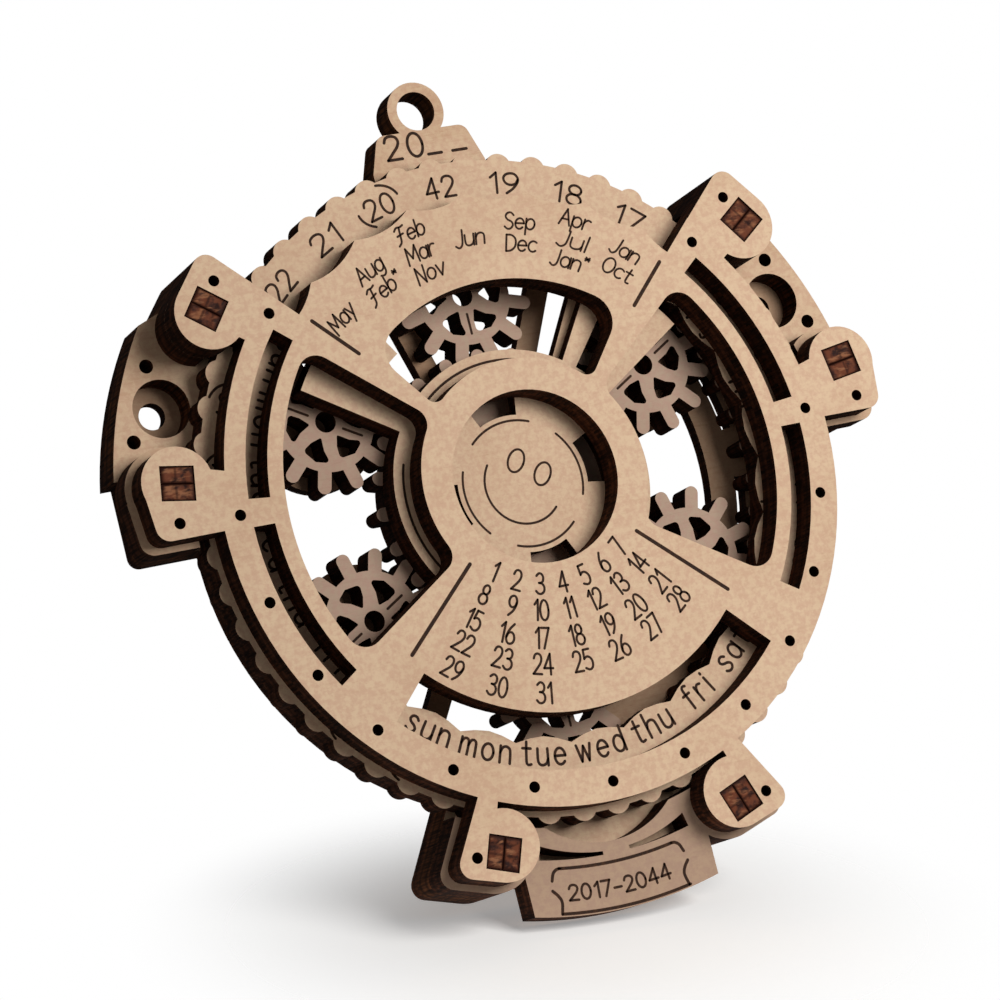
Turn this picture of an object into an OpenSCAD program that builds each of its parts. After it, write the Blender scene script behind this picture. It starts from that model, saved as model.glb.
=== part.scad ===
// Perpetual wall calendar, cut from thin plywood sheets and stacked in layers.
// A toothed calendar ring turns between a front frame and a back frame.
// Its internal gear drives six loose planet gears, which turn a sun gear and the face disc.
// The front looks along -Y, +Z is up, and the origin is the hanging eye at the tab's rear face.

/* [Sheets] */
// Thickness of one plywood sheet
sheet_t = 3; // [2:0.1:4]
// Axial play of the turning sheets
play = 0.1; // [0.05:0.01:0.2]
// Gap between a square hole and its pair of clips
clip_gap = 0.05; // [0.02:0.01:0.15]

/* [Dial] */
// Outer radius of the front plate's ring
front_r = 58.3; // [57.5:0.1:59]
// Inset of the circle of pin holes from the front plate's edge
dot_inset = 3.3; // [2.4:0.1:4]
// Diameter of a pin hole in the front plate
dot_d = 2; // [1.2:0.1:2.6]
// Step of the front plate's edge in the side gaps
gap_step = 1.4; // [1:0.1:2]
// Inset of the points on the month sector's edge
month_inset = 6.45; // [5.6:0.05:8]
// Depth of the scallops on the month sector's edge
month_scallop = 1.5; // [0.8:0.1:2]
// Half opening of the month sector, from the vertical
month_half_a = 45.4; // [42:0.1:47]
// Outer radius of the front hub
hub_r = 21.3; // [19:0.1:23]
// Radius of the hole in the front hub
hub_hole_r = 15.55; // [14:0.05:16]
// Inset of the side windows from the front plate's edge
side_window_inset = 11.9; // [10.5:0.1:12.8]
// Upper edge of a side window, from the horizontal
side_window_top_a = 39.3; // [36:0.1:41]
// Lower edge of a side window, from the horizontal
side_window_bottom_a = -32.5; // [-36:0.1:-28]
// Outer radius of the top window
top_window_r = 35.75; // [32:0.05:38]
// Direction of the top window's end edges
top_window_a = 51.8; // [48:0.1:56]
// Shift of the top window's end edges
top_window_shift = 2.5; // [0:0.1:4]
// Outer corner radius of the side windows
side_corner_r = 3.5; // [1:0.1:5]
// Corner radius of the side windows at the hub
hub_corner_r = 3; // [1:0.1:4]
// Outer corner radius of the top window
top_corner_r = 5; // [1:0.1:6]
// Corner radius of the top window at the hub
top_hub_corner_r = 2; // [1:0.1:3]
// Inset of the weekday window from the front plate's edge
weekday_inset = 6.4; // [5.8:0.1:8]
// Width of the weekday window
weekday_window_w = 10; // [8:0.1:12]
// Half opening of the weekday window
weekday_window_half_a = 44.5; // [40:0.1:46]
// Inset of the side slots from the front plate's edge
slot_inset = 5.2; // [4.9:0.1:6.8]
// Width of the side slots
slot_w = 3.9; // [2.5:0.1:4.3]

/* [Clips] */
// Wall between the ring's room and the upper clip holes
upper_clip_wall = 0.85; // [0.6:0.05:1.6]
// Direction of the upper clips, from the horizontal
upper_clip_a = 36.85; // [35:0.05:38]
// Wall between the ring's room and the side clip holes
side_clip_wall = 1.05; // [0.6:0.05:1.6]
// Direction of the side clips, from the horizontal
side_clip_a = 9; // [8:0.1:10]
// Wall between the ring's room and the bottom clip holes
bottom_clip_wall = 2.75; // [2:0.05:3.4]
// Direction of the bottom clips, from the horizontal
bottom_clip_a = -69.9; // [-71:0.1:-68]
// Radius of the round lobe at a clip
ear_lobe_r = 6.4; // [5.5:0.1:7]
// How far a spacer stands out round its ear
spacer_lip = 1.2; // [0.4:0.1:1.6]

/* [Calendar ring] */
// How far the ring stands out past the front plate
rim_show = 1; // [0.6:0.1:1.6]
// Height of the rim teeth
rim_tooth_h = 1.2; // [0.8:0.1:1.6]
// Radius of a round rim tooth
rim_tooth_r = 2.4; // [2:0.1:2.8]
// Number of year places on the ring
year_places = 28; // [28]
// Rim teeth for each year place
teeth_per_year = 2; // [2]
// Radius of the scallop tips on the ring's inner edge
scallop_tip_r = 45.1; // [44.6:0.1:45.6]
// Turn of the calendar ring at rest, as it was left
ring_rest_a = 2.5; // [0:0.1:6]
// Depth of the scallops
scallop_depth = 1.4; // [0.8:0.1:1.8]

/* [Gears] */
// Gear module, pitch diameter for each tooth
gear_module = 2.0075; // [2.0075]
// Teeth of the sun gear
sun_teeth = 24; // [24]
// Teeth of a planet gear
planet_teeth = 12; // [12]
// Width of a finger tooth
tooth_w = 2.5; // [2.1:0.1:2.6]
// Height of a planet tooth above its pitch circle
planet_addendum = 0.95; // [0.6:0.05:1.1]
// Height of a sun or ring tooth above its pitch circle
wheel_addendum = 2.05; // [1.6:0.05:2.2]
// Room under a tooth tip
root_gap = 1; // [0.4:0.1:1.1]
// Width of the ring gear's band behind its teeth
ring_band_w = 2.9; // [2.4:0.1:3]
// Turn of the calendar ring's gear at rest
gear_rest_a = 0; // [-3.75:0.05:3.75]
// Radius of a planet's centre hole
planet_hole_r = 1.9; // [1.2:0.1:2.2]

/* [Hub] */
// Outer radius of the spider's hub
spider_hub_r = 24.3; // [23.6:0.1:25]
// Radius of the face disc
face_disc_r = 17; // [16.4:0.1:18]
// Radial room round the face disc
face_disc_gap = 0.6; // [0.3:0.1:1]
// Inner radius of the face disc's notches
notch_r = 12.4; // [11.5:0.1:13.5]
// Half opening of a notch
notch_half_a = 17.4; // [14:0.1:20]
// Turn of the face disc at rest
face_rest_a = 8.5; // [0:0.5:45]
// Radius of the boss between sun gear and face disc
boss_r = 11; // [8:0.1:12]

/* [Back] */
// Radial room between the ring gear and the back frame
frame_gap = 0.4; // [0.3:0.05:0.6]
// Width of the back frame's ring
frame_w = 4.25; // [3.4:0.05:5]
// Wall of the side wings outside the screw recess
wing_wall = 2.5; // [1.6:0.1:3.2]
// Outer edge of the side lugs below the wings
lug_x = 69.6; // [69:0.1:72]
// Inner radius of the back plate's outer ring
back_ring_in_r = 45; // [44.7:0.1:46.5]
// Inner radius of the back plate's side bands
back_band_r = 41.7; // [41:0.1:43]
// Outer radius of the back plate's hub
back_hub_r = 22.5; // [21.8:0.1:23.5]
// Radius of the hole in the back plate's hub
back_hub_hole_r = 12; // [8:0.1:14]
// Width of the back plate's spokes
back_spoke_w = 4; // [3:0.1:5]
// Inner radius of the back plate's side slots
back_slot_r = 46.8; // [45:0.1:48]
// Width of the back plate's side slots
back_slot_w = 1.8; // [1:0.1:2.6]
// Radius of the back plate's pads behind the side planets
back_pad_r = 11.3; // [10:0.1:12]
// How far the back sheets' foot stays inside the label's edge
foot_inset = 6.7; // [5:0.1:9]

/* [Wall fixing] */
// Height of the hanging eye above the dial's centre
eye_up = 71; // [70:0.1:72]
// Radius of the hanging eye
eye_r = 3.6; // [3:0.1:3.8]
// Wall of the hanging eye
eye_wall = 1.8; // [1.6:0.1:2.6]
// Half width of the hanging tab at its foot
tab_foot = 11; // [10:0.1:13]
// Half width of the hanging tab at its shoulders
tab_shoulder = 8.6; // [7.5:0.1:9.5]
// Sideways place of a wall screw from the dial's centre
screw_x = 60.1; // [59.5:0.1:61]
// Height of the wall screws above the dial's centre
screw_up = 25.5; // [24.5:0.1:26.5]
// Radius of the wall screw's hole
screw_r = 2.4; // [1.8:0.1:2.8]
// Radius of the recess for the screw's head
head_r = 5.2; // [4.5:0.1:5.4]
// Radius of the small pin holes in the wings
wing_pin_r = 1.25; // [0.8:0.05:1.5]

/* [Label] */
// Half width of the label plate
label_half_w = 17.9; // [16:0.1:19]
// How far the label plate stands out past the rim teeth
label_reach = 16.2; // [15:0.1:18]
// Depth of the round notch in the label plate's top
notch_deep = 3.5; // [2.5:0.1:4]
// Radius of the round notch in the label plate's top
label_notch_r = 17.7; // [16:0.1:20]
// Distance of the label's slots from the ring's room
label_slot_out = 5.65; // [5.2:0.05:6]
// Narrow end of the label's slots
label_slot_end = 0.6; // [0.4:0.1:1]
// Radius of the upper edge of the label's slots
label_slot_r = 30; // [26:0.5:34]

/* [Hidden] */
$fn = 96;

// Stack heights, counted from the wall
layers = 7;
stack_t = layers * sheet_t;
turning_t = sheet_t - play;
function turning_z(k) = sheet_t + 3 * play + k * turning_t;

// Dial and ring sizes, counted from the front plate's edge
dot_circle_r = front_r - dot_inset;
gap_r = front_r - gap_step;
month_r = front_r - month_inset;
side_window_r = front_r - side_window_inset;
weekday_window_out_r = front_r - weekday_inset;
weekday_window_in_r = weekday_window_out_r - weekday_window_w;
slot_out_r = front_r - slot_inset;
slot_in_r = slot_out_r - slot_w;
rim_root_r = front_r + rim_show;
rim_tip_r = rim_root_r + rim_tooth_h;
label_r = rim_tip_r + label_reach;

// Gear sizes
ring_teeth = sun_teeth + 2 * planet_teeth;
sun_pitch_r = gear_module * sun_teeth / 2;
planet_pitch_r = gear_module * planet_teeth / 2;
ring_pitch_r = gear_module * ring_teeth / 2;
planet_centre_r = sun_pitch_r + planet_pitch_r;
planet_tip_r = planet_pitch_r + planet_addendum;
sun_tip_r = sun_pitch_r + wheel_addendum;
ring_tip_r = ring_pitch_r - wheel_addendum;
planet_root_r = planet_pitch_r - wheel_addendum - root_gap;
sun_root_r = sun_pitch_r - planet_addendum - root_gap / 2;
ring_root_r = ring_pitch_r + planet_addendum + root_gap / 2;
ring_gear_r = ring_root_r + ring_band_w;
planet_count = 6;
planet_first_a = 30;

// Back frame sizes
frame_in_r = ring_gear_r + frame_gap;
frame_r = frame_in_r + frame_w;
wing_r = norm([screw_x, screw_up]) + head_r + wing_wall;

// Clip and spacer sizes
clip_t = sheet_t;
clip_w = 2 * sheet_t;
clip_hole = clip_w + 2 * clip_gap;
rim_room = 0.7;
rim_clear_r = rim_tip_r + rim_room;
upper_clip_r = rim_clear_r + upper_clip_wall + clip_hole / 2;
side_clip_r = rim_clear_r + side_clip_wall + clip_hole / 2;
bottom_clip_r = rim_clear_r + bottom_clip_wall + clip_hole / 2;
clip_sink = 0.4;

// Lobes and outlines about a clip's place, in lobe radii: outward, sideways and corner radius
upper_lobe = [-0.14, -0.06];
upper_ear = [
    [-2.37, -0.25, 0], [-0.78, -0.31, 0], [1 + upper_lobe.x, upper_lobe.y, 0], [0.8, 1.47, 0.39],
    [-2.44, 1.05, 0]
];
side_lobe = [0, 0];
side_ear = [[-1.86, -1.2, 0], [0.61, -1.6, 0.39], [0.97, -0.16, 0], [0, 0.47, 0], [-1.61, 0.28, 0]];
bottom_lobe = [-0.22, 0];
bottom_ear = [
    [-2, 0.31, 0], [-1.03, 0.31, 0], [1 + bottom_lobe.x, 0, 0], [0.84, 1.31, 0.39], [-1.94, 0.78, 0]
];

function polar(r, a) = [r * cos(a), r * sin(a)];
function unit(v) = v / norm(v);
function about(c, a, p) = c + p.x * [cos(a), sin(a)] + p.y * [-sin(a), cos(a)];
function arc(c, r, from_a, sweep, steps) =
    [for (i = [0:steps]) c + polar(r, from_a + sweep * i / steps)];
function heading(c, p) = atan2(p.y - c.y, p.x - c.x);

// Points of one rounded corner, or the corner itself where it is sharp
function corner(p0, p1, p2, r, steps = 8) =
    r == 0 ? [p1] :
    let (
        u = unit(p0 - p1),
        v = unit(p2 - p1),
        half = acos(u * v) / 2,
        centre = p1 + unit(u + v) * r / sin(half),
        first = heading(centre, p1 + u * r / tan(half)),
        last = heading(centre, p1 + v * r / tan(half)),
        sweep = (last - first + 540) % 360 - 180
    ) arc(centre, r, first, sweep, steps);

// A closed outline whose points carry their corner radius as third value
module rounded(pts) {
    n = len(pts);
    flat = [for (p = pts) [p.x, p.y]];
    polygon([for (i = [0:n - 1]) each corner(flat[(i + n - 1) % n], flat[i], flat[(i + 1) % n], pts[i].z)]);
}

module wedge(from_a, to_a, reach) {
    steps = ceil((to_a - from_a) / 30);
    polygon(concat([[0, 0]], arc([0, 0], reach, from_a, to_a - from_a, steps)));
}

// Part of a flat ring between two directions
module ring_sector(in_r, out_r, from_a, to_a) {
    intersection() {
        difference() {
            circle(out_r);
            circle(in_r);
        }
        wedge(from_a, to_a, 2 * out_r);
    }
}

module both_sides() {
    children();
    mirror([1, 0]) children();
}

// Stands a flat outline up at its height over the wall, round the dial's centre
module sheet(from_wall, thick) {
    translate([0, sheet_t, -eye_up]) rotate([90, 0, 0]) translate([0, 0, from_wall])
        linear_extrude(thick) children();
}

module fixed_sheet(layer) {
    sheet(layer * sheet_t, sheet_t) children();
}

module turning_sheet(k) {
    sheet(turning_z(k), turning_t) children();
}

// Ear of a clip: a round lobe and an outline, both grown by the lip away from the dial
module ear(clip_r, clip_a, lobe, outline, lip) {
    place = polar(clip_r, clip_a);
    translate(about(place, clip_a, ear_lobe_r * lobe)) circle(ear_lobe_r + lip);
    rounded([
        for (p = outline)
            let (
                grow = [p.x > 0 ? lip : 0, sign(p.y) * lip],
                q = about(place, clip_a, ear_lobe_r * [p.x, p.y] + grow)
            ) [q.x, q.y, ear_lobe_r * p.z]
    ]);
}

module upper_ear_shape(lip = 0) {
    ear(upper_clip_r, upper_clip_a, upper_lobe, upper_ear, lip);
}

module side_ear_shape(lip = 0) {
    ear(side_clip_r, side_clip_a, side_lobe, side_ear, lip);
}

module bottom_ear_shape(lip = 0) {
    ear(bottom_clip_r, bottom_clip_a, bottom_lobe, bottom_ear, lip);
}

module clip_square(clip_r, clip_a) {
    rotate(clip_a) translate([clip_r, 0]) square(clip_hole, center = true);
}

module clip_squares() {
    both_sides() {
        clip_square(upper_clip_r, upper_clip_a);
        clip_square(side_clip_r, side_clip_a);
        clip_square(bottom_clip_r, bottom_clip_a);
    }
}

// Centre of a round that touches a circle and an edge: the edge runs along direction a, shifted by s
function touch(r, a, s) =
    sqrt(r * r - s * s) * [cos(a), sin(a)] + s * [-sin(a), cos(a)];
function facing(p) = atan2(p.y, p.x);
function turned(from_a, to_a) = (to_a - from_a + 540) % 360 - 180;
function sweep_arc(c, r, from_a, to_a, steps = 8) = arc(c, r, from_a, turned(from_a, to_a), steps);

// Window between two edges and two circles, with every corner rounded
// An edge is its direction and its shift to the left of the dial's centre
module round_window(in_r, out_r, low, high, corner_out, corner_in) {
    low_in = touch(in_r + corner_in, low[0], low[1] + corner_in);
    low_out = touch(out_r - corner_out, low[0], low[1] + corner_out);
    high_out = touch(out_r - corner_out, high[0], high[1] - corner_out);
    high_in = touch(in_r + corner_in, high[0], high[1] - corner_in);
    polygon(concat(
        sweep_arc(low_in, corner_in, facing(low_in) + 180, low[0] - 90),
        sweep_arc(low_out, corner_out, low[0] - 90, facing(low_out)),
        sweep_arc([0, 0], out_r, facing(low_out), facing(high_out), 32),
        sweep_arc(high_out, corner_out, facing(high_out), high[0] + 90),
        sweep_arc(high_in, corner_in, high[0] + 90, facing(high_in) + 180),
        sweep_arc([0, 0], in_r, facing(high_in), facing(low_in), 32)
    ));
}

module side_window() {
    round_window(hub_r, side_window_r, [side_window_bottom_a, 0], [side_window_top_a, 0],
        side_corner_r, hub_corner_r);
}

module top_window() {
    round_window(hub_r, top_window_r, [top_window_a, -top_window_shift],
        [180 - top_window_a, top_window_shift], top_corner_r, top_hub_corner_r);
}

module weekday_window() {
    ring_sector(weekday_window_in_r, weekday_window_out_r, -90 - weekday_window_half_a,
        weekday_window_half_a - 90);
}

upper_slot_a = [5.8, 39.2];
lower_slot_a = [-33.2, 0.5];

module side_slots() {
    both_sides() {
        ring_sector(slot_in_r, slot_out_r, upper_slot_a[0], upper_slot_a[1]);
        ring_sector(slot_in_r, slot_out_r, lower_slot_a[0], lower_slot_a[1]);
    }
}

// Room above the months: one scallop below each year place, with points between them
module month_room() {
    half_a = 180 / year_places;
    rise = month_r * cos(half_a) - month_r + month_scallop;
    scallop_r = (pow(month_r * sin(half_a), 2) + rise * rise) / (2 * rise);
    intersection() {
        wedge(90 - month_half_a, 90 + month_half_a, 2 * front_r);
        union() {
            ring_sector(month_r + month_scallop, 2 * front_r, 90 - month_half_a, 90 + month_half_a);
            for (i = [-4:3])
                rotate(90 + (2 * i + 1) * half_a)
                    translate([month_r - month_scallop + scallop_r, 0]) circle(scallop_r);
        }
    }
}

// Front outline shared by the front plate and the sheet glued behind it
module front_outline() {
    difference() {
        union() {
            difference() {
                circle(front_r);
                month_room();
                both_sides() ring_sector(gap_r, 2 * front_r, side_clip_a, upper_clip_a);
            }
            both_sides() {
                upper_ear_shape();
                side_ear_shape();
                bottom_ear_shape();
            }
        }
        both_sides() side_window();
        top_window();
        weekday_window();
        side_slots();
        circle(hub_hole_r);
        clip_squares();
    }
}

// Directions of the pin holes, from straight down, and the ears' pin holes in lobe radii
dot_down_a = [0, 15.4, 31.1, 46.7, 61.2, 76.6, 93];
dot_month_a = 41.5;
ear_dot_upper = [0.12, 0.81];
ear_dot_side = [0.03, -1.08];
ear_dot_bottom = [0.23, 0.75];

module ear_dot(clip_r, clip_a, p) {
    translate(about(polar(clip_r, clip_a), clip_a, ear_lobe_r * p)) circle(d = dot_d);
}

module pin_holes() {
    for (a = dot_down_a)
        both_sides() translate(polar(dot_circle_r, a - 90)) circle(d = dot_d);
    both_sides() {
        translate(polar(dot_circle_r, dot_month_a)) circle(d = dot_d);
        ear_dot(upper_clip_r, upper_clip_a, ear_dot_upper);
        ear_dot(side_clip_r, side_clip_a, ear_dot_side);
        ear_dot(bottom_clip_r, bottom_clip_a, ear_dot_bottom);
    }
}

module front_plate() {
    color("burlywood") fixed_sheet(6) difference() {
        front_outline();
        pin_holes();
    }
}

module front_backer() {
    color("tan") fixed_sheet(5) front_outline();
}

// Directions of the spider's spoke edges, and the cuts in its two spokes
spider_spoke_a = [32.5, 57];
spider_rear_a = 59.45;
spider_room = 1.7;
spider_spoke_r = scallop_tip_r - spider_room;
left_cut_r = 31.9;
left_cut_a = [121, 131];
right_cut_r = 36;
right_cut_a = [42, 50.5];

module spider_outline() {
    hole_r = face_disc_r + face_disc_gap;
    difference() {
        union() {
            circle(spider_hub_r);
            both_sides() ring_sector(hole_r, spider_spoke_r, spider_spoke_a[0], spider_spoke_a[1]);
        }
        circle(hole_r);
        ring_sector(spider_hub_r, left_cut_r, left_cut_a[0], left_cut_a[1]);
        ring_sector(spider_hub_r, right_cut_r, right_cut_a[0], right_cut_a[1]);
    }
}

module spider_front() {
    color("tan") fixed_sheet(4) spider_outline();
}

module spider_rear() {
    color("peru") sheet(3 * sheet_t + 3 * play, sheet_t - 3 * play) {
        spider_outline();
        ring_sector(spider_hub_r - spider_room, spider_spoke_r, right_cut_a[1], spider_rear_a);
    }
}

module rim_outline() {
    count = year_places * teeth_per_year;
    circle(rim_root_r);
    for (i = [0:count - 1])
        rotate(360 * i / count) translate([rim_tip_r - rim_tooth_r, 0]) circle(rim_tooth_r);
}

// Inner edge with one scallop for each year place, pointed between the scallops
module scallops() {
    share = [1, 0.3, 0, 0.3];
    n = len(share);
    polygon([for (i = [0:year_places * n - 1])
        polar(scallop_tip_r + scallop_depth * share[i % n], 360 * i / (year_places * n))]);
}

module calendar_ring() {
    color("burlywood") turning_sheet(3) rotate(ring_rest_a) difference() {
        rim_outline();
        rotate(180 / year_places) scallops();
    }
}

module rim_ring() {
    color("peru") turning_sheet(2) rotate(ring_rest_a) difference() {
        rim_outline();
        circle(scallop_tip_r + scallop_depth);
    }
}

// A round-ended tooth along +X between two radii
module finger(root_r, tip_r) {
    end = tip_r > root_r ? tip_r - tooth_w / 2 : tip_r + tooth_w / 2;
    translate([end, 0]) circle(d = tooth_w, $fn = 32);
    translate([min(root_r, end), -tooth_w / 2]) square([abs(end - root_r), tooth_w]);
}

tooth_sink = 0.6;

module ring_gear_outline() {
    difference() {
        circle(ring_gear_r);
        circle(ring_root_r);
    }
    for (i = [0:ring_teeth - 1])
        rotate(360 * i / ring_teeth + gear_rest_a) finger(ring_root_r + tooth_sink, ring_tip_r);
}

module ring_gear_front() {
    color("sienna") turning_sheet(1) ring_gear_outline();
}

module ring_gear_rear() {
    color("sienna") turning_sheet(0) ring_gear_outline();
}

// Curved opening between two arms of a planet: radius, direction and corner radius, in root radii
petal = [
    [0.33, 0, 0.03], [0.53, -18, 0], [0.77, -21, 0.08], [0.84, 2, 0], [0.82, 23, 0.06], [0.58, 13, 0]
];
petal_count = 6;

module planet_outline() {
    difference() {
        union() {
            circle(planet_root_r);
            for (i = [0:planet_teeth - 1])
                rotate(360 * (i + 0.5) / planet_teeth) finger(planet_root_r - tooth_sink, planet_tip_r);
        }
        circle(planet_hole_r);
        for (i = [0:petal_count - 1])
            rotate(360 * (i + 0.5) / petal_count)
                rounded([
                    for (p = petal)
                        let (q = planet_root_r * polar(p[0], p[1])) [q.x, q.y, planet_root_r * p[2]]
                ]);
    }
}

module planet_at(k) {
    a = planet_first_a + 360 * k / planet_count;
    spin = gear_rest_a * ring_teeth / planet_teeth;
    translate(polar(planet_centre_r, a)) rotate(a + spin) planet_outline();
}

module planet_front(k) {
    color("burlywood") turning_sheet(1) planet_at(k);
}

module planet_rear(k) {
    color("peru") turning_sheet(0) planet_at(k);
}

module sun_outline() {
    circle(sun_root_r);
    for (i = [0:sun_teeth - 1])
        rotate(360 * i / sun_teeth - gear_rest_a * ring_teeth / sun_teeth)
            finger(sun_root_r - tooth_sink, sun_tip_r);
}

module sun_front() {
    color("burlywood") turning_sheet(1) sun_outline();
}

module sun_rear() {
    color("peru") turning_sheet(0) sun_outline();
}

module sun_boss() {
    color("peru") turning_sheet(2) circle(boss_r);
}

notch_count = 4;

module face_disc() {
    color("burlywood") turning_sheet(3) difference() {
        circle(face_disc_r);
        for (i = [0:notch_count - 1])
            rotate(face_rest_a + 360 * i / notch_count)
                ring_sector(notch_r, 2 * face_disc_r, -notch_half_a, notch_half_a);
    }
}

// How far wings and tab reach into the back frame's ring
ring_sink = 2;

// Side wing with its lug, on the right of the dial
wing_a = [11.3, 33.8];
wing_top = [0.78, 0.09];
lug_corner_r = 2;
wing_pin_a = [28.6, 17.2];
wing_pin_inset = 3.5;

module wing() {
    top = about(polar(upper_clip_r, upper_clip_a), upper_clip_a, ear_lobe_r * wing_top);
    foot = polar(frame_r - ring_sink, upper_clip_a);
    low = polar(wing_r, wing_a[0]);
    rounded([
        [foot.x, foot.y, 0],
        [frame_r - ring_sink, 0, 0],
        [lug_x, 0, lug_corner_r],
        [lug_x, low.y, 0],
        each [for (p = arc([0, 0], wing_r, wing_a[0], wing_a[1] - wing_a[0], 12)) [p.x, p.y, 0]],
        [top.x, top.y, 0]
    ]);
}

tab_foot_corner_r = 0.8;
tab_shoulder_corner_r = 2;

module hanging_tab() {
    shoulder_up = eye_up - eye_r;
    foot_up = frame_r - ring_sink;
    difference() {
        union() {
            translate([0, eye_up]) circle(eye_r + eye_wall);
            rounded([
                [-tab_foot, foot_up, 0],
                [tab_foot, foot_up, 0],
                [tab_foot, rim_tip_r, tab_foot_corner_r],
                [tab_shoulder, shoulder_up, tab_shoulder_corner_r],
                [-tab_shoulder, shoulder_up, tab_shoulder_corner_r],
                [-tab_foot, rim_tip_r, tab_foot_corner_r]
            ]);
        }
        translate([0, eye_up]) circle(eye_r);
    }
}

// Foot behind the label, between the bottom ears
foot_half_a = 20;

module foot() {
    ring_sector(frame_r - ring_sink, label_r - foot_inset, -90 - foot_half_a, foot_half_a - 90);
}

// Ring, wings, foot and lugs shared by the three back sheets
module back_outline(ring_in_r) {
    difference() {
        union() {
            circle(frame_r);
            foot();
            both_sides() {
                wing();
                upper_ear_shape();
                bottom_ear_shape(spacer_lip);
            }
        }
        circle(ring_in_r);
        clip_squares();
        both_sides() for (a = wing_pin_a) translate(polar(wing_r - wing_pin_inset, a)) circle(wing_pin_r);
    }
}

module frame_outline() {
    difference() {
        back_outline(frame_in_r);
        both_sides() translate([screw_x, screw_up]) circle(head_r);
    }
    difference() {
        hanging_tab();
        circle(frame_in_r);
    }
}

module frame_front() {
    color("tan") fixed_sheet(2) frame_outline();
}

module frame_rear() {
    color("peru") fixed_sheet(1) frame_outline();
}

back_spoke_a = [64.2, 106.5, 238.6];
back_web_a = [-79, -50];
back_band_a = 20;
back_slot_a = [5.5, 18];
back_pad_planets = [0, 2, 3, 5];

module back_bands() {
    for (side = [0, 180])
        rotate(side) ring_sector(back_band_r, back_ring_in_r + ring_sink, -back_band_a, back_band_a);
}

module back_pads() {
    for (k = back_pad_planets)
        translate(polar(planet_centre_r, planet_first_a + 360 * k / planet_count)) circle(back_pad_r);
}

module back_slots() {
    for (side = [0, 180], way = [-1, 1])
        rotate(side) scale([1, way])
            ring_sector(back_slot_r, back_slot_r + back_slot_w, back_slot_a[0], back_slot_a[1]);
}

module back_plate() {
    color("tan") fixed_sheet(0) {
        difference() {
            union() {
                back_outline(back_ring_in_r);
                back_bands();
                back_pads();
            }
            back_slots();
            both_sides() translate([screw_x, screw_up]) circle(screw_r);
        }
        difference() {
            union() {
                circle(back_hub_r);
                for (a = back_spoke_a)
                    rotate(a) translate([0, -back_spoke_w / 2])
                        square([back_ring_in_r + ring_sink, back_spoke_w]);
                ring_sector(back_hub_r - ring_sink, back_ring_in_r + ring_sink,
                            back_web_a[0], back_web_a[1]);
            }
            circle(back_hub_hole_r);
        }
    }
}

module spacer_cuts() {
    circle(rim_clear_r);
    clip_squares();
}

module upper_spacer_outline() {
    difference() {
        upper_ear_shape();
        spacer_cuts();
    }
}

module side_spacer_outline() {
    difference() {
        side_ear_shape(spacer_lip);
        spacer_cuts();
    }
}

module upper_spacer(layer, side) {
    color("peru") fixed_sheet(layer) scale([side, 1]) upper_spacer_outline();
}

module side_spacer(layer, side) {
    color("peru") fixed_sheet(layer) scale([side, 1]) side_spacer_outline();
}

module upper_left_spacer_front() {
    upper_spacer(4, -1);
}

module upper_left_spacer_rear() {
    upper_spacer(3, -1);
}

module upper_right_spacer_front() {
    upper_spacer(4, 1);
}

module upper_right_spacer_rear() {
    upper_spacer(3, 1);
}

module side_left_spacer_front() {
    side_spacer(4, -1);
}

module side_left_spacer_rear() {
    side_spacer(3, -1);
}

module side_right_spacer_front() {
    side_spacer(4, 1);
}

module side_right_spacer_rear() {
    side_spacer(3, 1);
}

label_sector_a = 40;
label_slot_a = [2.2, 12.6];

// Slot on the right of the label: its lower edge runs round the dial, its upper edge more steeply
module label_slot() {
    slot_r = rim_clear_r + label_slot_out;
    difference() {
        ring_sector(rim_clear_r, slot_r, label_slot_a[0] - 90, label_slot_a[1] - 90);
        translate([0, label_slot_r + label_slot_end - slot_r]) circle(label_slot_r);
    }
}

module label_outline() {
    difference() {
        union() {
            intersection() {
                ring_sector(rim_clear_r, label_r, -90 - label_sector_a, label_sector_a - 90);
                translate([-label_half_w, -label_r]) square([2 * label_half_w, label_r]);
            }
            both_sides() bottom_ear_shape(spacer_lip);
        }
        circle(rim_clear_r);
        translate([0, label_notch_r - rim_clear_r - notch_deep]) circle(label_notch_r);
        clip_squares();
        both_sides() label_slot();
    }
}

module label_front() {
    color("burlywood") fixed_sheet(4) label_outline();
}

module label_rear() {
    color("peru") fixed_sheet(3) label_outline();
}

// Two flat strips side by side in one square hole
module clip_pair(clip_r, clip_a) {
    for (side = [-1, 1])
        rotate(clip_a) translate([clip_r, side * clip_t / 2])
            square([clip_w, clip_t - clip_gap], center = true);
}

module clips() {
    color("saddlebrown") sheet(clip_sink, stack_t - 2 * clip_sink) both_sides() {
        clip_pair(upper_clip_r, upper_clip_a);
        clip_pair(side_clip_r, side_clip_a);
        clip_pair(bottom_clip_r, bottom_clip_a);
    }
}

front_plate();
front_backer();
spider_front();
spider_rear();
calendar_ring();
rim_ring();
ring_gear_front();
ring_gear_rear();
planet_front(0);  // planet_1_front
planet_front(1);  // planet_2_front
planet_front(2);  // planet_3_front
planet_front(3);  // planet_4_front
planet_front(4);  // planet_5_front
planet_front(5);  // planet_6_front
planet_rear(0);  // planet_1_rear
planet_rear(1);  // planet_2_rear
planet_rear(2);  // planet_3_rear
planet_rear(3);  // planet_4_rear
planet_rear(4);  // planet_5_rear
planet_rear(5);  // planet_6_rear
sun_front();
sun_rear();
sun_boss();
face_disc();
frame_front();
frame_rear();
back_plate();
upper_left_spacer_front();
upper_left_spacer_rear();
upper_right_spacer_front();
upper_right_spacer_rear();
side_left_spacer_front();
side_left_spacer_rear();
side_right_spacer_front();
side_right_spacer_rear();
label_front();
label_rear();
clips();
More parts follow.
